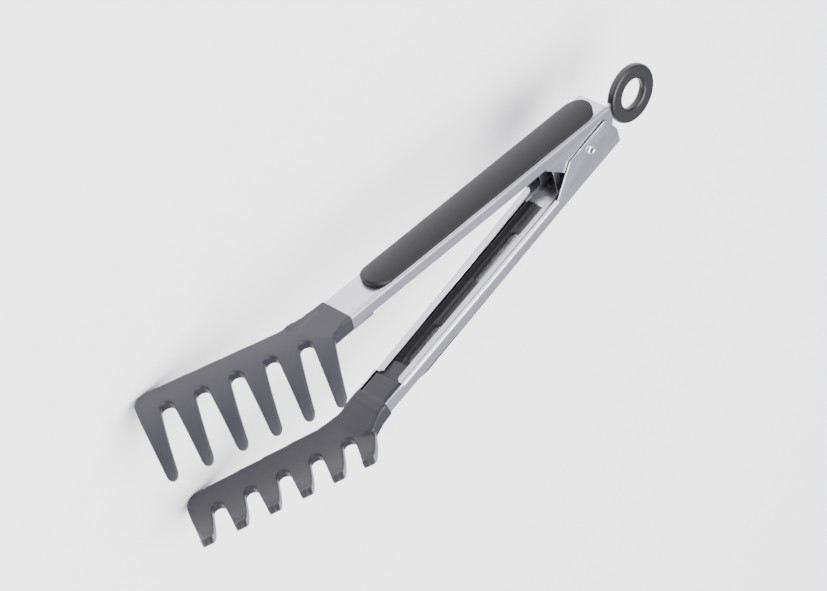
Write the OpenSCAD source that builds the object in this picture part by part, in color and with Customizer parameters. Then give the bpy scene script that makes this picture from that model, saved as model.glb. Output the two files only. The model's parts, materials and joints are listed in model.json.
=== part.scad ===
// Spring loaded kitchen tongs with two comb heads for pasta and noodles.
// Millimetres. X runs from the hanging ring to the heads, Z is the hinge axis
// with the comb teeth rising towards +Z, and the arms open along Y. The origin
// is under the middle of the tongs, on the plane that the comb backs rest on.

/* [Arms] */
// Hinge pin to the end of the steel arm at the head
arm_reach = 152; // [120:0.5:240]
// Steel behind the hinge pin
arm_tail = 16; // [13:0.5:20]
// Outer face of an arm's back to the hinge pin
arm_stand = 13.4; // [12:0.1:18]
// Height of the folded side flanges
flange_height = 7.6; // [6:0.1:10]
// Width over the flanges at the head end
neck_width = 18; // [15:0.1:26]
// Width of the inner arm over its ears
hinge_width = 18.4; // [15:0.1:26]
// Thickness of the steel sheet
sheet = 0.8; // [0.6:0.05:1.2]
// Outer radius of the folds in the sheet
fold_radius = 2; // [1.4:0.1:2.5]
// Width of the lips turned in from the flanges
lip_width = 4.5; // [3:0.1:6]
// Start of the turned lips from the hinge pin
lip_start = 27.5; // [22:0.5:40]
// Front end of the lips back from the arm's front end
lip_stop = 12; // [6:0.5:40]
// Rounding of the corners of the lips
lip_round = 2.4; // [0.5:0.1:2.4]
// Side gap between the nested ears at the pin
ear_gap = 0.35; // [0.2:0.05:0.8]

/* [Ears] */
// Reach of the ears past the hinge pin
ear_reach = 5.5; // [3:0.1:7]
// Rounding of the ears' rear corners
ear_round = 2; // [1:0.1:3]
// Hinge pin to the upper rear corner of the ears
ear_rear = 14.8; // [12:0.1:18]
// Hinge pin to the rearmost point of the ears
ear_tail = 17.6; // [15:0.1:20]
// Height of the rearmost point of the ears from the hinge pin
ear_tail_height = 5; // [2:0.1:8]
// Front end of the straight edge of the ears
ear_flat_end = 12.5; // [6:0.5:16]
// Point where the ears meet the flanges
ear_front = 27; // [18:0.5:30]
// Rear end of the stop on the inner ears
stop_rear = 17; // [14:0.1:18]
// Front end of the stop on the inner ears
stop_front = 11.5; // [8:0.1:13]
// Gap left at the opening stop
stop_gap = 0.05; // [0.02:0.01:0.2]

/* [Opening] */
// Angle of each arm from the middle when the tongs are open
open_half_angle = 7.4; // [5:0.1:12]

/* [Hinge pin] */
// Diameter of the tubular rivet
pin_diameter = 3.5; // [3:0.1:5]
// Bore of the tubular rivet
pin_bore = 2; // [1:0.1:3]
// Diameter of the rolled rivet heads
pin_head_diameter = 5.4; // [4.5:0.1:8]
// Height of the rolled rivet heads
pin_head_height = 1; // [0.6:0.1:2]
// Radial running clearance of the inner ears on the pin
pin_clearance = 0.05; // [0.02:0.01:0.1]

/* [Spring] */
// Diameter of the spring wire
wire_diameter = 1.2; // [0.8:0.1:1.6]
// Inner radius of the coil
coil_inner_radius = 2.2; // [2:0.1:4]
// Length of the coil along the pin
coil_length = 8; // [5:0.5:9]
// Offset of each spring leg from the middle of the pin
leg_offset = 2.6; // [1:0.1:3.4]
// Hinge pin to the point where a leg meets its arm
leg_reach = 20; // [16:0.5:24]
// Length of the foot that lies along the arm
foot_length = 5; // [3:0.5:8]
// Diameter of the bend between a leg and its foot
knuckle_diameter = 1.36; // [1:0.01:1.8]
// Gap between a foot and its arm
foot_gap = 0.1; // [0:0.05:0.3]

/* [Lock slider] */
// Thickness of the slider sheet
slider_sheet = 0.8; // [0.6:0.05:1.2]
// Inner face of each side plate from the middle
plate_offset = 4.6; // [4.4:0.1:6]
// Hinge pin to the front edge of the cross bar
bar_front = 20.5; // [16:0.5:24]
// Length of the cross bar along the slider
bar_length = 7; // [4:0.5:8]
// Half height of the cross bar
bar_half_height = 12.1; // [8:0.1:12.2]
// Half height of the side plates round the slot
plate_half_height = 6; // [4.5:0.1:8]
// Half height of the strip that enters the ring
strip_half_height = 4; // [3:0.1:6]
// Hinge pin to the rear bend of the side plates
plate_rear = 9; // [8:0.5:12]
// Hinge pin to the point where both plates meet
strip_front = 14.5; // [13:0.5:18]
// Travel of the slider when the ring is pulled
slider_travel = 8; // [4:0.5:9]
// Clearance of the pin in the slot
slot_clearance = 0.1; // [0.05:0.01:0.3]
// Angle of the slider from the middle plane at rest
slider_lean = 5; // [0:0.1:6]

/* [Hanging ring] */
// Hinge pin to the ring centre with the slider pushed in
ring_distance = 40; // [36:0.5:60]
// Outer diameter of the ring
ring_diameter = 29.3; // [22:0.1:36]
// Diameter of the hanging hole
ring_hole = 15; // [8:0.1:18]
// Thickness of the ring
ring_thickness = 4.4; // [3:0.1:7]
// Rounding of the ring edges
ring_round = 1.5; // [0.5:0.1:2]
// Depth that the strip is moulded into the ring
strip_hold = 5.4; // [3:0.1:6]

/* [Grips] */
// Front end of the pad back from the arm's front end
pad_stop = 18; // [8:1:40]
// Rear end of the soft pad behind the hinge pin
pad_rear = 12; // [6:0.5:15]
// Width of the soft pad
pad_width = 16.4; // [12:0.1:24]
// Height of the soft pad along its middle
pad_crown = 3.2; // [2:0.1:6]
// Height of the soft pad at its edges
pad_edge = 1.4; // [0.8:0.1:3]
// Rear end of the grip rail from the hinge pin
rail_rear = 31; // [28:0.5:40]
// Front end of the rail back from the arm's front end
rail_stop = 22; // [21.5:0.5:40]
// Width of the grip rail
rail_width = 15.6; // [12:0.1:20]
// Height of the rail's side strips from the arm's back
rail_height = 1.8; // [1.2:0.1:3]
// Height of the rail's lower middle
rail_middle_height = 1; // [0.6:0.1:1.4]
// Width of the rail's lower middle
rail_middle_width = 7.5; // [4:0.1:10]
// Length of the front window in the rail's middle
window_front = 22; // [12:0.5:30]
// Length of the rear window in the rail's middle
window_rear = 30; // [12:0.5:34]
// Rear end of the rear window from the hinge pin
window_start = 48; // [44:0.5:52]
// Front end of the front window back from the rail's front end
window_stop = 3; // [2:0.5:10]
// Rounding of the window corners
window_round = 2; // [0.5:0.1:3]
// Diameter of the bosses that hold the pad through the arm
boss_diameter = 5; // [3:0.1:7]
// Depth of the bosses in the pad
boss_depth = 1.2; // [0.6:0.1:2]
// Clearance round the bosses
boss_clearance = 0.1; // [0.05:0.01:0.3]

/* [Heads] */
// Comb teeth on each head
tooth_count = 6; // [3:1:9]
// Spacing of the teeth at the spine
tooth_pitch = 16.05; // [10:0.05:24]
// Spacing of the two front teeth at their tips
tip_pitch = 16.3; // [10:0.05:24]
// Loss of tip spacing from each tooth to the next one back
tip_pitch_step = 0.4; // [0:0.05:1]
// Forward lean of the front tooth at its tip
tip_lean = 1.1; // [0:0.1:5]
// Width of a tooth at its tip
tip_width = 4.8; // [3:0.1:8]
// Radius of the round slot roots
root_radius = 3.1; // [2:0.1:5]
// Reach of the teeth from the slot roots
tooth_reach = 30.3; // [20:0.1:50]
// Drop of the teeth from the flat spine
tooth_drop = 16.2; // [8:0.1:25]
// Thickness of the comb at the spine
comb_thickness = 5; // [3:0.1:7]
// Thickness of the teeth at their tips
tip_thickness = 3.4; // [2:0.1:5]
// Width of the spine behind the slot roots at the front
spine_width = 11; // [8:0.1:20]
// Extra width of the spine at the neck
spine_flare = 1.6; // [0:0.1:4]
// Radius that the spine's back is curved to
spine_curve = 60; // [40:1:120]
// Start of the tooth curve behind the slot roots
curve_start = 2; // [0:0.1:6]
// Radius of the front corner of the spine
spine_corner = 7.5; // [3:0.1:12]
// Arm's front end to the middle of the comb
comb_ahead = 51.4; // [44:0.1:60]
// Offset of the slot roots from the arm's middle along the pin
comb_offset = 12.3; // [8:0.1:20]
// Height of the comb's outer face above the hinge pin
comb_stand = 10.7; // [8:0.1:16]
// Angle of the comb across the arm
comb_turn = 26.9; // [10:0.1:45]
// Angle of the comb in towards the other head
comb_pitch = 5.4; // [0:0.1:12]
// Height that the collar at the neck stands proud of the steel
neck_proud = 0.3; // [0:0.05:0.8]
// Corner radius of the collar at the neck
neck_corner = 1.2; // [0.5:0.1:2]
// Length of the tang inside the arm
tang_length = 21; // [12:0.5:30]
// Clearance of the tang in the arm
tang_clearance = 0.1; // [0.05:0.01:0.3]

/* [Hidden] */
$fn = 64;
// Space for cuts that run past a face
over = 1;
// Half spans that are larger than every part
far = 400;
flange_edge = arm_stand - flange_height;
lip_end = arm_reach - lip_stop;
pad_front = arm_reach - pad_stop;
rail_front = arm_reach - rail_stop;
window_end = rail_front - window_stop;
comb_reach = arm_reach + comb_ahead;
ear_top = ear_round - ear_reach;
ear_slope = atan2(ear_tail_height - ear_top, ear_tail - ear_rear);
neck_half = neck_width / 2;
inner_half = hinge_width / 2;
outer_half = inner_half + ear_gap + sheet;
fold_inner = fold_radius - sheet;
web_inner = arm_stand - sheet;
// Side gap under each rivet head
head_seat = 0.1;
// Inner ear against the fold of the outer arm at the stop
stop_side = fold_inner - ear_gap;
stop_depth = web_inner - fold_inner + sqrt(fold_inner * fold_inner - stop_side * stop_side) - stop_gap;
pin_half = outer_half + head_seat;
coil_outer_radius = coil_inner_radius + wire_diameter;
// Share of the wire that each leg sinks into the coil at its root
leg_sink = 0.4;
leg_drop = web_inner - knuckle_diameter / 2 - foot_gap;
leg_root = coil_outer_radius - leg_sink * wire_diameter;
leg_rise = leg_drop - leg_root;
leg_angle = atan2(leg_rise, leg_reach);
leg_length = sqrt(leg_reach * leg_reach + leg_rise * leg_rise);
slot_radius = pin_diameter / 2 + slot_clearance;
ring_radius = ring_diameter / 2;
ring_hole_radius = ring_hole / 2;
strip_end = ring_distance - ring_radius + strip_hold;
plate_face = plate_offset + slider_sheet;
pad_half = pad_width / 2;
pad_sag = pad_crown - pad_edge;
pad_dome = (pad_half * pad_half + pad_sag * pad_sag) / (2 * pad_sag);
pad_crown_face = arm_stand + pad_crown;
boss_radius = boss_diameter / 2;
boss_places = [40, 91];
rail_half = rail_width / 2;
rail_inset = 1;
window_inset = 0.4;
rail_base_half = rail_half - rail_inset;
window_half = rail_middle_width / 2 - window_inset;
root_line = root_radius;
tooth_root_half = tooth_pitch / 2 - root_radius;
last_tooth = tooth_count - 1;
tip_half = tip_width / 2;
// Length that is left past the tips for their trim
tip_spare = 3;
curve_run = tooth_reach + curve_start;
curve_radius = (curve_run * curve_run + tooth_drop * tooth_drop) / (2 * tooth_drop);
tip_angle = asin(curve_run / curve_radius);
under_run = curve_run - tip_thickness * sin(tip_angle);
under_drop = tooth_drop + tip_thickness * cos(tip_angle) - comb_thickness;
under_radius = (under_run * under_run + under_drop * under_drop) / (2 * under_drop);
front_edge = last_tooth / 2 * tooth_pitch + tooth_root_half;
front_tip = last_tooth / 2 * tooth_pitch + tip_lean;
// Neck corners in the comb's own plan
neck_back = arm_reach - comb_reach;
neck_far_s = neck_back * cos(comb_turn) - (comb_offset - neck_half) * sin(comb_turn);
neck_far_t = neck_back * sin(comb_turn) + (comb_offset - neck_half) * cos(comb_turn);
neck_near_s = neck_back * cos(comb_turn) - (comb_offset + neck_half) * sin(comb_turn);
neck_near_t = neck_back * sin(comb_turn) + (comb_offset + neck_half) * cos(comb_turn);
tang_lip_gap = 0.4;
tang_step = 0.2;
tang_gap = 0.5;
neck_run = 12;
neck_slope = 0.43;
neck_bulge = 1.2;
neck_sink = 2;
neck_flat = 3;
neck_tail = 1;
neck_length = 20.5;
neck_ramp = 5;
neck_rise = 3.2;
neck_floor = 2.6;
neck_top = arm_stand + neck_proud;
// Lowest point of the combs' front corners below the hinge pin
rest_depth = comb_offset + spine_corner + (front_edge - spine_corner) * sin(comb_turn)
    + (spine_width - spine_corner) * cos(comb_turn);
// Foremost point of the front teeth and rearmost point of the ring
comb_lean = comb_pitch - open_half_angle;
tip_along = cos(tip_angle) * sin(comb_turn) * cos(comb_lean) - sin(tip_angle) * sin(comb_lean);
tip_swing = tip_half * sqrt(pow(cos(comb_turn) * cos(comb_lean), 2) + pow(tip_along, 2));
tip_centre = (front_tip * cos(comb_turn) + tooth_reach * sin(comb_turn)) * cos(comb_lean)
    - tooth_drop * sin(comb_lean) - tip_half * tip_along;
front_reach = comb_reach * cos(open_half_angle) - comb_stand * sin(open_half_angle)
    + tip_centre + tip_swing;
rear_reach = ring_distance * cos(slider_lean) + ring_radius;
middle_reach = (front_reach - rear_reach) / 2;

function tip_place(tooth) = front_tip - tooth * tip_pitch + tip_pitch_step * tooth * (tooth - 1) / 2;

// Places a piece drawn round the hinge pin into the frame of the tongs
module in_frame() {
    translate([-middle_reach, 0, rest_depth])
        children();
}

// The outer arm lies on the +Y side
module on_outer_arm() {
    in_frame()
        rotate([0, 0, open_half_angle])
            children();
}

// The inner arm is the mirror image on the -Y side
module on_inner_arm() {
    in_frame()
        mirror([0, 1, 0])
            rotate([0, 0, open_half_angle])
                children();
}

module on_slider() {
    in_frame()
        rotate([0, 0, -slider_lean])
            children();
}

// Turns a section drawn as height and width so that it runs along X
module along_arm(start, length) {
    translate([start, 0, 0])
        rotate([90, 0, 90])
            linear_extrude(height = length)
                children();
}

module folded_block(half, low, top, radius) {
    translate([low, -half])
        square([top - radius - low, 2 * half]);
    translate([low, radius - half])
        square([top - low, 2 * (half - radius)]);
    for (side = [-1, 1])
        translate([top - radius, side * (half - radius)])
            circle(r = radius);
}

module rounded_bar(half, low, top, radius) {
    translate([low + radius, -half])
        square([top - low - 2 * radius, 2 * half]);
    translate([low, radius - half])
        square([top - low, 2 * (half - radius)]);
    for (side = [-1, 1])
        for (height = [low + radius, top - radius])
            translate([height, side * (half - radius)])
                circle(r = radius);
}

module open_section(half, low) {
    difference() {
        folded_block(half, low, arm_stand, fold_radius);
        folded_block(half - sheet, low - over, web_inner, fold_inner);
    }
}

module lipped_section(half) {
    difference() {
        rounded_bar(half, flange_edge, arm_stand, fold_radius);
        rounded_bar(half - sheet, flange_edge + sheet, web_inner, fold_inner);
        translate([flange_edge - over, lip_width - half])
            square([sheet + 2 * over, 2 * (half - lip_width)]);
    }
}

// Both halves of an arm run from the neck width out to the hinge width
module tapered(hinge_half) {
    for (side = [0, 1])
        mirror([0, 0, side])
            intersection() {
                translate([-far / 2, -far / 2, 0])
                    cube([far, far, far]);
                translate([arm_reach, 0, 0])
                    rotate([0, atan2(hinge_half - neck_half, arm_reach), 0])
                        translate([-arm_reach, 0, 0])
                            children();
            }
}

module side_outline() {
    polygon([[-arm_tail, arm_stand], [arm_reach, arm_stand], [arm_reach, flange_edge],
        [ear_front, flange_edge], [ear_flat_end, -ear_reach], [ear_round - ear_rear, -ear_reach],
        [ear_round - ear_rear - ear_round * sin(ear_slope), ear_top - ear_round * cos(ear_slope)],
        [ear_round - ear_tail - ear_round * sin(ear_slope),
            ear_tail_height - ear_round * cos(ear_slope)],
        [-ear_tail, ear_tail_height]]);
    translate([ear_round - ear_rear, ear_top])
        circle(r = ear_round);
    translate([ear_round - ear_tail, ear_tail_height])
        circle(r = ear_round);
}

// The stop reaches the fold of the outer arm when the tongs are open
module stop_outline() {
    rotate(-2 * open_half_angle)
        mirror([0, 1])
            translate([-stop_rear, 0])
                square([stop_rear - stop_front, stop_depth]);
}

// Rounds one corner of a lip
module lip_corner(place, turned) {
    translate([place, flange_edge + sheet + over / 2, neck_half - lip_width])
        mirror([turned, 0, 0])
            rotate([90, 0, 0])
                linear_extrude(height = sheet + over)
                    difference() {
                        translate([-over, -over])
                            square([lip_round + over, lip_round + over]);
                        translate([lip_round, lip_round])
                            circle(r = lip_round);
                    }
}

module folded_arm(hinge_half) {
    intersection() {
        translate([0, 0, -far / 2])
            linear_extrude(height = far)
                children();
        tapered(hinge_half)
            along_arm(-2 * arm_tail, lip_start + 2 * arm_tail)
                open_section(neck_half, -2 * ear_reach);
    }
    tapered(hinge_half)
        difference() {
            along_arm(lip_start, lip_end - lip_start)
                lipped_section(neck_half);
            lip_corner(lip_start, 0);
            lip_corner(lip_end, 1);
        }
    tapered(hinge_half)
        along_arm(lip_end, arm_reach - lip_end)
            open_section(neck_half, flange_edge);
}

module boss_holes() {
    for (place = boss_places)
        translate([place, arm_stand + over, 0])
            rotate([90, 0, 0])
                cylinder(r = boss_radius + boss_clearance, h = sheet + 2 * over);
}

module outer_arm() {
    color([0.78, 0.79, 0.8])
        on_outer_arm()
            difference() {
                folded_arm(outer_half)
                    side_outline();
                cylinder(d = pin_diameter, h = far, center = true);
                boss_holes();
            }
}

module inner_arm() {
    color([0.8, 0.81, 0.82])
        on_inner_arm()
            difference() {
                folded_arm(inner_half) {
                    union() {
                        side_outline();
                        stop_outline();
                    }
                }
                cylinder(d = pin_diameter + 2 * pin_clearance, h = far, center = true);
                boss_holes();
            }
}

module hinge_pin() {
    color([0.85, 0.85, 0.86])
        in_frame()
            difference() {
                union() {
                    cylinder(d = pin_diameter, h = 2 * pin_half, center = true);
                    for (side = [0, 1])
                        mirror([0, 0, side])
                            translate([0, 0, pin_half])
                                rotate_extrude()
                                    rivet_head_section();
                }
                cylinder(d = pin_bore, h = far, center = true);
            }
}

module rivet_head_section() {
    square([pin_head_diameter / 2 - pin_head_height / 2, pin_head_height]);
    translate([pin_head_diameter / 2 - pin_head_height / 2, pin_head_height / 2])
        circle(d = pin_head_height);
}

// One coil round the pin with a leg to each arm
module torsion_spring() {
    color([0.7, 0.71, 0.73]) {
        in_frame()
            difference() {
                cylinder(r = coil_outer_radius, h = coil_length, center = true);
                cylinder(r = coil_inner_radius, h = far, center = true);
            }
        on_outer_arm()
            translate([0, 0, leg_offset])
                spring_leg();
        on_inner_arm()
            translate([0, 0, -leg_offset])
                spring_leg();
    }
}

module spring_leg() {
    translate([0, leg_root, 0])
        rotate([0, 0, leg_angle])
            rotate([0, 90, 0])
                cylinder(d = wire_diameter, h = leg_length);
    translate([leg_reach, leg_drop, 0])
        sphere(d = knuckle_diameter);
    translate([leg_reach, leg_drop, 0])
        rotate([0, 90, 0])
            cylinder(d = wire_diameter, h = foot_length);
}

// Two side plates that close on each other behind the hinge
module slider_plan() {
    polygon([[bar_front, plate_offset], [bar_front, plate_face], [-plate_rear, plate_face],
        [-strip_front, slider_sheet], [-strip_end, slider_sheet], [-strip_end, -slider_sheet],
        [-strip_front, -slider_sheet], [-plate_rear, -plate_face], [bar_front, -plate_face],
        [bar_front, -plate_offset], [-plate_rear + slider_sheet / 2, -plate_offset],
        [-strip_front, 0], [-plate_rear + slider_sheet / 2, plate_offset]]);
}

module slider_outline() {
    difference() {
        union() {
            translate([bar_front - bar_length, -bar_half_height])
                square([bar_length, 2 * bar_half_height]);
            translate([-plate_rear - slider_sheet, -plate_half_height])
                square([bar_front + plate_rear, 2 * plate_half_height]);
            translate([-strip_end, -strip_half_height])
                square([strip_end, 2 * strip_half_height]);
        }
        circle(r = slot_radius);
        translate([slider_travel, 0])
            circle(r = slot_radius);
        translate([0, -slot_radius])
            square([slider_travel, 2 * slot_radius]);
    }
}

module lock_slider() {
    color([0.74, 0.75, 0.77])
        on_slider()
            intersection() {
                translate([0, 0, -far / 2])
                    linear_extrude(height = far)
                        slider_outline();
                translate([0, far / 2, 0])
                    rotate([90, 0, 0])
                        linear_extrude(height = far)
                            slider_plan();
            }
}

module ring_section() {
    translate([ring_hole_radius, -ring_thickness / 2 + ring_round])
        square([ring_radius - ring_hole_radius, ring_thickness - 2 * ring_round]);
    translate([ring_hole_radius + ring_round, -ring_thickness / 2])
        square([ring_radius - ring_hole_radius - 2 * ring_round, ring_thickness]);
    for (edge = [ring_hole_radius + ring_round, ring_radius - ring_round])
        for (side = [-1, 1])
            translate([edge, side * (ring_thickness / 2 - ring_round)])
                circle(r = ring_round);
}

module hanging_ring() {
    color([0.06, 0.06, 0.065])
        on_slider()
            difference() {
                translate([-ring_distance, 0, 0])
                    rotate_extrude()
                        ring_section();
                translate([-strip_end, -strip_half_height, -slider_sheet])
                    cube([strip_end, 2 * strip_half_height, 2 * slider_sheet]);
            }
}

// Plan of the comb along its spine and its teeth
module comb_plan() {
    difference() {
        union() {
            polygon([[neck_near_s, neck_near_t], [neck_near_s - neck_tail, neck_near_t - neck_sink],
                [neck_far_s - neck_tail, neck_far_t - neck_tail / 2], [neck_far_s, neck_far_t],
                [neck_far_s + neck_run, neck_far_t + neck_slope * neck_run],
                [neck_far_s + 2 * neck_run, -spine_width - spine_flare],
                [front_edge - spine_corner, -spine_width],
                [front_edge - spine_corner, root_line], [-front_edge, root_line],
                [neck_near_s + 2 * neck_flat, neck_near_t + neck_bulge * neck_flat],
                [neck_near_s + neck_flat, neck_near_t + neck_flat / 2]]);
            translate([front_edge - spine_corner - over, spine_corner - spine_width])
                square([spine_corner + over, spine_width - spine_corner + root_line]);
            translate([front_edge - spine_corner, spine_corner - spine_width])
                circle(r = spine_corner);
            for (tooth = [0 : last_tooth])
                tooth_plan(front_edge - tooth_root_half - tooth * tooth_pitch, tip_place(tooth));
        }
        for (gap = [1 : last_tooth])
            translate([front_edge - tooth_root_half - (gap - 0.5) * tooth_pitch, root_line])
                circle(r = root_radius);
    }
}

module tooth_plan(root_place, tip_place) {
    polygon([[root_place - tooth_root_half, root_line], [root_place + tooth_root_half, root_line],
        [tip_place + tip_half, tooth_reach], [tip_place + tip_half, tooth_reach + tip_spare],
        [tip_place - tip_half, tooth_reach + tip_spare], [tip_place - tip_half, tooth_reach]]);
}

// Section of the comb across its spine, drawn as height and distance
module comb_section() {
    intersection() {
        difference() {
            translate([-spine_curve, -curve_start])
                circle(r = spine_curve, $fn = 180);
            translate([-spine_curve - comb_thickness, -curve_start])
                circle(r = spine_curve, $fn = 180);
        }
        translate([-spine_curve, -spine_curve - curve_start])
            square([spine_curve, spine_curve]);
    }
    intersection() {
        difference() {
            translate([-curve_radius, -curve_start])
                circle(r = curve_radius, $fn = 180);
            translate([-comb_thickness - under_radius, -curve_start])
                circle(r = under_radius, $fn = 180);
        }
        translate([-2 * comb_thickness - tooth_drop, -curve_start])
            square([3 * comb_thickness + tooth_drop, curve_run + 2]);
    }
}

// Round tooth tips, cut square to the curve of the teeth
module tip_trim() {
    translate([0, -tooth_drop, tooth_reach])
        rotate([tip_angle, 0, 0])
            translate([0, far / 8, 0])
                rotate([90, 0, 0])
                    linear_extrude(height = far / 4)
                        tip_plan();
}

module tip_plan() {
    translate([-far / 2, -far / 2])
        square([far, far / 2 - tip_half]);
    for (tooth = [0 : last_tooth])
        translate([tip_place(tooth), -tip_half])
            circle(r = tip_half);
}

module in_comb() {
    translate([comb_reach, comb_stand, -comb_offset])
        rotate([0, 0, -comb_pitch])
            rotate([0, comb_turn, 0])
                children();
}

module comb_plate() {
    intersection() {
        in_comb()
            translate([0, far / 10, 0])
                rotate([90, 0, 0])
                    linear_extrude(height = far / 5)
                        comb_plan();
        in_comb()
            along_arm(-far / 2, far)
                comb_section();
        in_comb()
            tip_trim();
        translate([arm_reach + neck_floor, neck_top - far / 2, -far / 2])
            cube([far, far / 2, far]);
    }
}

// Collar round the arm's end and the shoulder that thickens the comb behind it
module neck_block() {
    along_arm(arm_reach, neck_ramp)
        rounded_bar(neck_half + neck_proud, flange_edge - neck_proud, neck_top, neck_corner);
    intersection() {
        in_comb()
            translate([0, far / 10, 0])
                rotate([90, 0, 0])
                    linear_extrude(height = far / 5)
                        comb_plan();
        translate([0, 0, -far / 2])
            linear_extrude(height = far)
                polygon([[arm_reach, flange_edge], [arm_reach + neck_ramp, flange_edge],
                    [arm_reach + neck_length, flange_edge + neck_rise],
                    [arm_reach + neck_length, arm_stand], [arm_reach, arm_stand]]);
        in_comb()
            translate([-far / 2, -far / 2, root_line - far])
                cube([far, far, far]);
    }
}

module tang() {
    tang_half = neck_half - sheet - tang_clearance;
    along_arm(arm_reach - tang_length, tang_length)
        rounded_bar(tang_half, flange_edge + sheet + tang_lip_gap, web_inner - tang_clearance, fold_radius);
    along_arm(lip_end + tang_gap, arm_reach - lip_end - tang_gap)
        rounded_bar(tang_half, flange_edge + tang_step, web_inner - tang_clearance, fold_radius);
}

module comb_head() {
    comb_plate();
    neck_block();
    tang();
}

module outer_head() {
    color([0.27, 0.27, 0.31])
        on_outer_arm()
            comb_head();
}

module inner_head() {
    color([0.27, 0.27, 0.31])
        on_inner_arm()
            comb_head();
}

// Rail inside the arm: a thin plate with windows between two raised side strips
module grip_rail() {
    difference() {
        union() {
            translate([rail_rear, web_inner - rail_middle_height, -rail_base_half])
                cube([rail_front - rail_rear, rail_middle_height, 2 * rail_base_half]);
            for (side = [0, 1])
                mirror([0, 0, side])
                    translate([rail_rear, web_inner - rail_height, rail_middle_width / 2])
                        cube([rail_front - rail_rear, rail_height - fold_inner / 4,
                            rail_half - rail_middle_width / 2]);
        }
        window(window_start, window_rear);
        window(window_end - window_front, window_front);
    }
    for (place = boss_places)
        translate([place, arm_stand + boss_depth, 0])
            rotate([90, 0, 0])
                cylinder(r = boss_radius, h = boss_depth + sheet + rail_middle_height / 2);
}

module window(start, length) {
    translate([start, web_inner + over, 0])
        rotate([90, 0, 0])
            linear_extrude(height = 2 * over + rail_middle_height)
                window_plan(length);
}

module window_plan(length) {
    translate([window_round, -window_half])
        square([length - 2 * window_round, 2 * window_half]);
    translate([0, window_round - window_half])
        square([length, 2 * (window_half - window_round)]);
    for (end = [window_round, length - window_round])
        for (side = [-1, 1])
            translate([end, side * (window_half - window_round)])
                circle(r = window_round);
}

module outer_grip_rail() {
    color([0.2, 0.2, 0.21])
        on_outer_arm()
            grip_rail();
}

module inner_grip_rail() {
    color([0.2, 0.2, 0.21])
        on_inner_arm()
            grip_rail();
}

// Soft pad with round ends and a crowned back
module grip_pad() {
    difference() {
        intersection() {
            translate([0, pad_crown_face + over, 0])
                rotate([90, 0, 0])
                    linear_extrude(height = pad_crown + over)
                        pad_plan();
            translate([0, pad_crown_face - pad_dome, 0])
                rotate([0, 90, 0])
                    cylinder(r = pad_dome, h = far, center = true, $fn = 180);
        }
        for (place = boss_places)
            translate([place, arm_stand + boss_depth, 0])
                rotate([90, 0, 0])
                    cylinder(r = boss_radius, h = 2 * boss_depth);
    }
}

module pad_plan() {
    translate([pad_half - pad_rear, -pad_half])
        square([pad_front + pad_rear - pad_width, pad_width]);
    for (end = [pad_half - pad_rear, pad_front - pad_half])
        translate([end, 0])
            circle(r = pad_half);
}

module outer_grip_pad() {
    color([0.05, 0.05, 0.055])
        on_outer_arm()
            grip_pad();
}

module inner_grip_pad() {
    color([0.05, 0.05, 0.055])
        on_inner_arm()
            grip_pad();
}

outer_arm();
inner_arm();
hinge_pin();
torsion_spring();
lock_slider();
hanging_ring();
outer_head();
inner_head();
outer_grip_rail();
inner_grip_rail();
outer_grip_pad();
inner_grip_pad();
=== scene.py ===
import json
import math

import bmesh
import bpy
from mathutils import Matrix, Vector

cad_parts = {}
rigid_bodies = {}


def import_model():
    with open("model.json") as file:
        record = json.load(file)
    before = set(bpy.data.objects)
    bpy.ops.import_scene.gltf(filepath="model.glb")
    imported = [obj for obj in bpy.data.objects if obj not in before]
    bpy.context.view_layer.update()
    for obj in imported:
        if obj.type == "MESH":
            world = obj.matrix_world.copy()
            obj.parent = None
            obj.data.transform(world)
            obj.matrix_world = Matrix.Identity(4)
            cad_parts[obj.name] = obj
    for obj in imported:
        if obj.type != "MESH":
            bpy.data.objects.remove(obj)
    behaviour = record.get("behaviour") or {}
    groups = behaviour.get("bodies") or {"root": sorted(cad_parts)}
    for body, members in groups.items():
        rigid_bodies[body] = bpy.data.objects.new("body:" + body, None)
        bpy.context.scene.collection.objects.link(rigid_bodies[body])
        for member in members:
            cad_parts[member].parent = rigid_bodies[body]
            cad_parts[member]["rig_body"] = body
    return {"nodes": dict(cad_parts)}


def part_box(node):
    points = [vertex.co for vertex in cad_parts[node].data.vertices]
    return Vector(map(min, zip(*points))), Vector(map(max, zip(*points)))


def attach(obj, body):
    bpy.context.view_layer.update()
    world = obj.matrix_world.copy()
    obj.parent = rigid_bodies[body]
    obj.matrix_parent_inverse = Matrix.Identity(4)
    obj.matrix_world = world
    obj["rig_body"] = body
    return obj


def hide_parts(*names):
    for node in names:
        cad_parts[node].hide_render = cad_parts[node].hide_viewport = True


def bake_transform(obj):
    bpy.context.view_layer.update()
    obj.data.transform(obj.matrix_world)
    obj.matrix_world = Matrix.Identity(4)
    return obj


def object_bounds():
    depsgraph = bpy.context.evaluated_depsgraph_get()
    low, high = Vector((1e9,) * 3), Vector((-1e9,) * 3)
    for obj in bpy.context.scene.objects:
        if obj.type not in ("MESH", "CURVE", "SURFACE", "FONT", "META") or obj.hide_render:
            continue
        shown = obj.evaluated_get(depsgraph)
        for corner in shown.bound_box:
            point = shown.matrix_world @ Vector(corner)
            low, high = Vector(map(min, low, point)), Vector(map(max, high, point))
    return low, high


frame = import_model()
cad_low, cad_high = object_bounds()

# ---------------------------------------------------------------- camera
# A long lens looks down on the tongs from beside the inner arm.
pin_low, pin_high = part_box("hinge_pin")
hinge = (Vector(pin_low) + Vector(pin_high)) / 2

CAMERA_FROM_HINGE = Vector((0.583131, -0.899873, 0.774032))
CAMERA_TURN = [math.radians(angle) for angle in (-31.012, -44.909, 158.215)]
LENS_MM = 125.28
SENSOR_MM = 36.0

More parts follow.
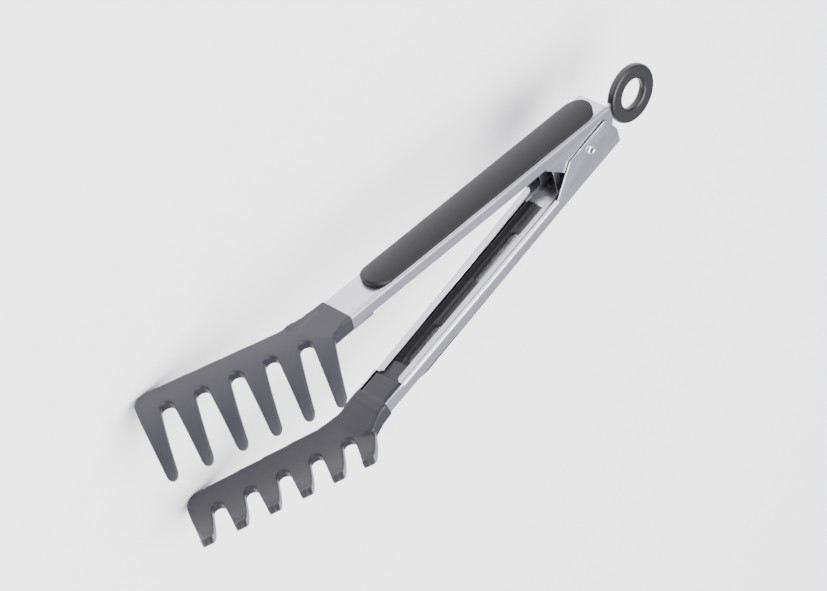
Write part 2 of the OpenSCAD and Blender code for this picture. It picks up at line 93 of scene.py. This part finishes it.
camera_data = bpy.data.cameras.new("camera")
camera_data.lens = LENS_MM
camera_data.sensor_width = SENSOR_MM
camera_data.clip_start = 0.05
camera_data.clip_end = 20.0
camera = bpy.data.objects.new("camera", camera_data)
camera.location = hinge + CAMERA_FROM_HINGE
camera.rotation_euler = CAMERA_TURN
bpy.context.scene.collection.objects.link(camera)
bpy.context.scene.camera = camera


# ---------------------------------------------------------------- floor and light
# A plain near-white floor under large soft lamps. The sky is a dim lilac grey
# near the horizon and white overhead, which the bare steel reflects.
class Sock:
    """A shader socket that takes Python's arithmetic."""

    def __init__(self, shader, socket):
        self.shader = shader
        self.socket = socket

    def maths(self, operation, *values):
        return self.shader.node("ShaderNodeMath", {"operation": operation},
                                dict(enumerate(values)))

    def __add__(self, other):
        return self.maths("ADD", self, other)

    def __sub__(self, other):
        return self.maths("SUBTRACT", self, other)

    def __rsub__(self, other):
        return self.maths("SUBTRACT", other, self)

    def __mul__(self, other):
        return self.maths("MULTIPLY", self, other)

    __radd__ = __add__
    __rmul__ = __mul__

    def between(self, low, high):
        """Rises from 0 at low to 1 at high."""
        return self.shader.node("ShaderNodeMapRange", {"clamp": True},
                                {"Value": self, "From Min": low, "From Max": high})


class Shader:
    """Builds one node tree."""

    def __init__(self, tree):
        self.tree = tree
        tree.nodes.clear()

    def node(self, kind, settings=None, inputs=None, out=0):
        made = self.tree.nodes.new(kind)
        for name, value in (settings or {}).items():
            setattr(made, name, value)
        for key, value in (inputs or {}).items():
            if isinstance(value, Sock):
                self.tree.links.new(value.socket, made.inputs[key])
            else:
                made.inputs[key].default_value = value
        return Sock(self, made.outputs[out])

    def place(self, stretch=(1, 1, 1), turn=(0, 0, 0)):
        coords = self.node("ShaderNodeTexCoord", out="Object")
        turned = self.node("ShaderNodeMapping", None, {"Vector": coords, "Rotation": turn})
        return self.node("ShaderNodeMapping", None, {"Vector": turned, "Scale": stretch})

    def noise(self, where, scale, detail=2.0, rough=0.5):
        return self.node("ShaderNodeTexNoise", None,
                         {"Vector": where, "Scale": scale, "Detail": detail, "Roughness": rough})

    def tint(self, amount, dark, light):
        return self.node("ShaderNodeMix", {"data_type": "RGBA"},
                         {0: amount, 6: dark, 7: light}, out=2)

    def bump(self, height, strength, distance):
        return self.node("ShaderNodeBump", None,
                         {"Height": height, "Strength": strength, "Distance": distance})

    def surface(self, **inputs):
        named = {key.replace("_", " "): value for key, value in inputs.items()}
        lit = self.node("ShaderNodeBsdfPrincipled", None, named)
        self.close(lit, "ShaderNodeOutputMaterial")

    def close(self, lit, kind):
        end = self.tree.nodes.new(kind)
        self.tree.links.new(lit.socket, end.inputs["Surface"])


def material(name):
    made = bpy.data.materials.new(name)
    made.use_nodes = True
    return made, Shader(made.node_tree)


FLOOR_LIGHT = (0.94, 0.94, 0.945, 1)
FLOOR_DARK = (0.92, 0.92, 0.93, 1)
FLOOR_HALF = 4.0
FLOOR_DROP = 0.0002

floor_finish, shader = material("floor_paper")
shader.surface(
    Base_Color=shader.tint(shader.noise(shader.place(), 60.0), FLOOR_DARK, FLOOR_LIGHT),
    Roughness=0.9)

mesh = bmesh.new()
bmesh.ops.create_grid(mesh, x_segments=1, y_segments=1, size=FLOOR_HALF)
floor_mesh = bpy.data.meshes.new("floor")
mesh.to_mesh(floor_mesh)
mesh.free()
floor_mesh.transform(Matrix.Translation((0, 0, cad_low[2] - FLOOR_DROP)))
floor_mesh.materials.append(floor_finish)
floor = bpy.data.objects.new("floor", floor_mesh)
bpy.context.scene.collection.objects.link(floor)

SKY_LOW = (0.50, 0.50, 0.58, 1)
SKY_MIDDLE = (0.95, 0.95, 1.08, 1)
SKY_TOP = (1.6, 1.6, 1.62, 1)
SKY_STRENGTH = 1.0
MIDDLE_HEIGHT = 0.62
TOP_HEIGHT = 0.85

world = bpy.data.worlds.new("studio")
world.use_nodes = True
bpy.context.scene.world = world
shader = Shader(world.node_tree)
coords = shader.node("ShaderNodeTexCoord", out="Generated")
height = shader.node("ShaderNodeSeparateXYZ", None, {0: coords}, out=2)
low_sky = shader.tint(height.between(0.0, MIDDLE_HEIGHT), SKY_LOW, SKY_MIDDLE)
sky = shader.tint(height.between(MIDDLE_HEIGHT, TOP_HEIGHT), low_sky, SKY_TOP)
shader.close(shader.node("ShaderNodeBackground", None, {"Color": sky, "Strength": SKY_STRENGTH}),
             "ShaderNodeOutputWorld")


def lamp(name, place, size, power):
    data = bpy.data.lights.new(name, "AREA")
    data.shape = "RECTANGLE"
    data.size, data.size_y = size
    data.energy = power
    made = bpy.data.objects.new(name, data)
    made.location = place
    made.rotation_euler = (hinge - Vector(place)).to_track_quat("-Z", "Y").to_euler()
    bpy.context.scene.collection.objects.link(made)


lamp("top_lamp", (0.1, -0.2, 1.8), (1.8, 1.4), 95.0)
lamp("side_lamp", (1.3, 0.5, 0.9), (0.7, 1.0), 12.0)
lamp("front_lamp", (-0.5, -1.5, 0.7), (1.0, 0.7), 12.0)


# ---------------------------------------------------------------- steel arms
# Each arm is one stainless sheet folded into a channel, brushed along its
# length, with rounded folds and square cut edges.
ARM_LEAN = math.radians(7.4)
SHARP = math.radians(38)
SAME_PLACE = 1e-6
FINE_GRAIN = (25.0, 1400.0, 1400.0)
BROAD_GRAIN = (9.0, 130.0, 130.0)
SMUDGE_SCALE = 55.0
BRUSH_DEPTH = 0.0002
FLAT_WEIGHT = 100


def brushed_steel(name, lean, light, dark, rough):
    made, shader = material(name)
    turn = (0, 0, -lean)
    fine = shader.noise(shader.place(FINE_GRAIN, turn), 1.0, 3.0, 0.6)
    broad = shader.noise(shader.place(BROAD_GRAIN, turn), 1.0, 2.0)
    smudge = shader.noise(shader.place(), SMUDGE_SCALE, 3.0)
    streak = fine * 0.55 + broad * 0.55
    shader.surface(
        Base_Color=shader.tint(streak.between(0.32, 0.78), light, dark),
        Metallic=1.0,
        Roughness=(rough + streak * 0.12 + smudge.between(0.45, 0.7) * 0.05),
        Normal=shader.bump(streak, 0.09, BRUSH_DEPTH))
    return made


def merged(node):
    mesh = bmesh.new()
    mesh.from_mesh(frame["nodes"][node].data)
    bmesh.ops.remove_doubles(mesh, verts=mesh.verts, dist=SAME_PLACE)
    return mesh


def finished(mesh, node, suffix, finish):
    """Puts a finished mesh in the scene in place of a frame node."""
    data = bpy.data.meshes.new(node + suffix)
    mesh.to_mesh(data)
    mesh.free()
    data.materials.append(finish)
    data.polygons.foreach_set("use_smooth", [True] * len(data.polygons))
    data.set_sharp_from_angle(angle=SHARP)
    piece = bpy.data.objects.new(node + suffix, data)
    bpy.context.scene.collection.objects.link(piece)
    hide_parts(node)
    return piece


def pressing(node, finish):
    mesh = merged(node)
    for one in mesh.faces:
        one.material_index = 0
    piece = finished(mesh, node, "_pressing", finish)
    flats = piece.modifiers.new("flats", "WEIGHTED_NORMAL")
    flats.mode = "FACE_AREA"
    flats.weight = FLAT_WEIGHT
    flats.keep_sharp = True
    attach(piece, frame["nodes"][node]["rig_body"])
    return piece


STEEL_LIGHT = (0.58, 0.58, 0.605, 1)
STEEL_DARK = (0.38, 0.38, 0.41, 1)
outer_steel = brushed_steel("outer_arm_steel", ARM_LEAN, STEEL_LIGHT, STEEL_DARK, 0.19)
inner_steel = brushed_steel("inner_arm_steel", -ARM_LEAN, STEEL_LIGHT, STEEL_DARK, 0.19)
pressing("outer_arm", outer_steel)
pressing("inner_arm", inner_steel)

# ---------------------------------------------------------------- lock slider
# A bent sheet plate in a steel that is a little darker than the arms.
SLIDER_LIGHT = (0.60, 0.61, 0.64, 1)
SLIDER_DARK = (0.42, 0.42, 0.46, 1)
slider_steel = brushed_steel("slider_steel", 0.0, SLIDER_LIGHT, SLIDER_DARK, 0.24)
pressing("lock_slider", slider_steel)

# ---------------------------------------------------------------- hinge pin
# A tubular rivet. Each end is rolled outward into a round head and leaves the
# bore open.
BORE_RADIUS = 0.001
PIN_RADIUS = 0.00175
HEAD_RADIUS = 0.0027
HEAD_HEIGHT = 0.001
HEAD_PROFILE = [(BORE_RADIUS, 0.0007), (0.0011, 0.0003), (0.0014, 0.00008), (0.0018, 0.0),
                (0.0022, 0.00008), (0.0025, 0.0003), (HEAD_RADIUS, 0.0006),
                (HEAD_RADIUS, HEAD_HEIGHT), (PIN_RADIUS, HEAD_HEIGHT)]
SPIN_STEPS = 64
RIVET_LIGHT = (0.78, 0.78, 0.80, 1)
RIVET_DARK = (0.6, 0.6, 0.62, 1)

half_height = (pin_high[2] - pin_low[2]) / 2
upper = [(radius, half_height - depth) for radius, depth in HEAD_PROFILE]
profile = upper + [(radius, -place) for radius, place in reversed(upper)]
mesh = bmesh.new()
corners = [mesh.verts.new((hinge.x + radius, hinge.y, hinge.z + place))
           for radius, place in profile]
edges = [mesh.edges.new(pair) for pair in zip(corners, corners[1:] + corners[:1])]
bmesh.ops.spin(mesh, geom=corners + edges, cent=hinge, axis=(0, 0, 1),
               angle=2 * math.pi, steps=SPIN_STEPS, use_merge=True, use_duplicate=False)
bmesh.ops.remove_doubles(mesh, verts=mesh.verts, dist=SAME_PLACE)
bmesh.ops.recalc_face_normals(mesh, faces=mesh.faces)
rivet_steel = brushed_steel("rivet_steel", 0.0, RIVET_LIGHT, RIVET_DARK, 0.17)
rivet = finished(mesh, "hinge_pin", "_rivet", rivet_steel)
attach(rivet, frame["nodes"]["hinge_pin"]["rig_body"])

# ---------------------------------------------------------------- opening spring
# A torsion spring of drawn wire wound round the pin. One leg runs out inside
# each arm and ends in a short foot that lies along the arm's web.
WIRE_RADIUS = 0.0006
WIRE_SIDES = 12
COIL_RADIUS = 0.0028
COIL_HALF = 0.0034
COIL_TURNS = 5
TURN_STEPS = 40
LEG_REACH = 0.020
LEG_DROP = 0.01182
LEG_SIDE = 0.0026
FOOT_LENGTH = 0.005
BEND_RADIUS = 0.0012
WIRE_LIGHT = (0.62, 0.62, 0.64, 1)
WIRE_DARK = (0.45, 0.45, 0.47, 1)


def arm_point(along, outward, side):
    """A point in the outer arm's own frame, from the hinge."""
    return Vector((along * math.cos(ARM_LEAN) - outward * math.sin(ARM_LEAN),
                   along * math.sin(ARM_LEAN) + outward * math.cos(ARM_LEAN), side))


knee = arm_point(LEG_REACH, LEG_DROP, LEG_SIDE)
toe = arm_point(LEG_REACH + FOOT_LENGTH, LEG_DROP, LEG_SIDE)
tangent = math.atan2(knee.y, knee.x) + math.acos(COIL_RADIUS / math.hypot(knee.x, knee.y))
root = Vector((COIL_RADIUS * math.cos(tangent), COIL_RADIUS * math.sin(tangent), COIL_HALF))
toward_root = (root - knee).normalized()
toward_toe = (toe - knee).normalized()
bend = [knee + toward_toe * BEND_RADIUS * (1 - t) ** 2 + toward_root * BEND_RADIUS * t ** 2
        for t in (0.0, 0.25, 0.5, 0.75, 1.0)]
leg = [toe] + bend
turned = 2 * (math.pi - tangent) + 2 * math.pi * COIL_TURNS
steps = round(TURN_STEPS * (COIL_TURNS + 1 / 3))
coil = [Vector((COIL_RADIUS * math.cos(tangent + turned * i / steps),
                COIL_RADIUS * math.sin(tangent + turned * i / steps),
                COIL_HALF * (1 - 2 * i / steps))) for i in range(steps + 1)]
path = leg + coil + [Vector((p.x, -p.y, -p.z)) for p in reversed(leg)]

mesh = bmesh.new()
rings = []
heading = (path[1] - path[0]).normalized()
across = heading.orthogonal().normalized()
for i, point in enumerate(path):
    before, after = path[max(i - 1, 0)], path[min(i + 1, len(path) - 1)]
    heading = (after - before).normalized()
    across = (across - heading * across.dot(heading)).normalized()
    turn = Matrix((across, heading.cross(across), heading)).transposed().to_4x4()
    made = bmesh.ops.create_circle(mesh, segments=WIRE_SIDES, radius=WIRE_RADIUS,
                                   matrix=Matrix.Translation(hinge + point) @ turn)
    rings.append(list({edge for vert in made["verts"] for edge in vert.link_edges}))
for one, other in zip(rings, rings[1:]):
    bmesh.ops.bridge_loops(mesh, edges=one + other)
bmesh.ops.contextual_create(mesh, geom=rings[0])
bmesh.ops.contextual_create(mesh, geom=rings[-1])
bmesh.ops.recalc_face_normals(mesh, faces=mesh.faces)
wire_steel = brushed_steel("spring_wire_steel", 0.0, WIRE_LIGHT, WIRE_DARK, 0.25)
spring = finished(mesh, "torsion_spring", "_wire", wire_steel)
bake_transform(spring)


# ---------------------------------------------------------------- comb heads
# Moulded nylon heads with curved teeth. Every corner of the moulding is soft.
def moulded(name, light, dark, rough, shine, grain_scale, grain_depth):
    made, shader = material(name)
    where = shader.place()
    cloud = shader.noise(where, 45.0, 3.0)
    grain = shader.noise(where, grain_scale, 2.0, 0.6)
    shader.surface(
        Base_Color=shader.tint(cloud, dark, light),
        Roughness=(rough + cloud * 0.08 + grain * 0.05),
        Specular_IOR_Level=shine,
        Normal=shader.bump(grain, 0.25, grain_depth))
    return made


def soft_moulding(node, voxel, passes, finish):
    mesh = merged(node)
    for one in mesh.faces:
        one.material_index = 0
    piece = finished(mesh, node, "_moulding", finish)
    grid = piece.modifiers.new("even", "REMESH")
    grid.mode = "VOXEL"
    grid.voxel_size = voxel
    grid.use_smooth_shade = True
    soft = piece.modifiers.new("rounded", "SMOOTH")
    soft.factor = 0.5
    soft.iterations = passes
    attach(piece, frame["nodes"][node]["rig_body"])
    return piece


NYLON_LIGHT = (0.024, 0.0235, 0.030, 1)
NYLON_DARK = (0.017, 0.0165, 0.021, 1)
HEAD_GRID = 0.0005
HEAD_ROUNDING = 6
nylon = moulded("head_nylon", NYLON_LIGHT, NYLON_DARK, 0.36, 0.34, 2600.0, 0.00005)
for node in ("outer_head", "inner_head"):
    soft_moulding(node, HEAD_GRID, HEAD_ROUNDING, nylon)

# ---------------------------------------------------------------- grip rails
# The rails are moulded plates with raised side strips and windows between.
RAIL_LIGHT = (0.036, 0.036, 0.038, 1)
RAIL_DARK = (0.026, 0.026, 0.028, 1)
RAIL_GRID = 0.00035
RAIL_ROUNDING = 2
rail_plastic = moulded("rail_plastic", RAIL_LIGHT, RAIL_DARK, 0.3, 0.5, 2400.0, 0.00003)
for node in ("outer_grip_rail", "inner_grip_rail"):
    soft_moulding(node, RAIL_GRID, RAIL_ROUNDING, rail_plastic)

# ---------------------------------------------------------------- grip pads
# Soft matt rubber pads moulded over the backs of the arms.
RUBBER_LIGHT = (0.006, 0.006, 0.0065, 1)
RUBBER_DARK = (0.004, 0.004, 0.0045, 1)
PAD_GRID = 0.0004
PAD_ROUNDING = 8
pad_rubber = moulded("pad_rubber", RUBBER_LIGHT, RUBBER_DARK, 0.42, 0.3, 3000.0, 0.00004)
for node in ("outer_grip_pad", "inner_grip_pad"):
    soft_moulding(node, PAD_GRID, PAD_ROUNDING, pad_rubber)

# ---------------------------------------------------------------- hanging ring
# A moulded ring with a round section, held on the end of the slider.
RING_LIGHT = (0.006, 0.006, 0.0065, 1)
RING_DARK = (0.004, 0.004, 0.0045, 1)
RING_GRID = 0.00035
RING_ROUNDING = 6
ring_plastic = moulded("ring_plastic", RING_LIGHT, RING_DARK, 0.34, 0.5, 2600.0, 0.00003)
soft_moulding("hanging_ring", RING_GRID, RING_ROUNDING, ring_plastic)
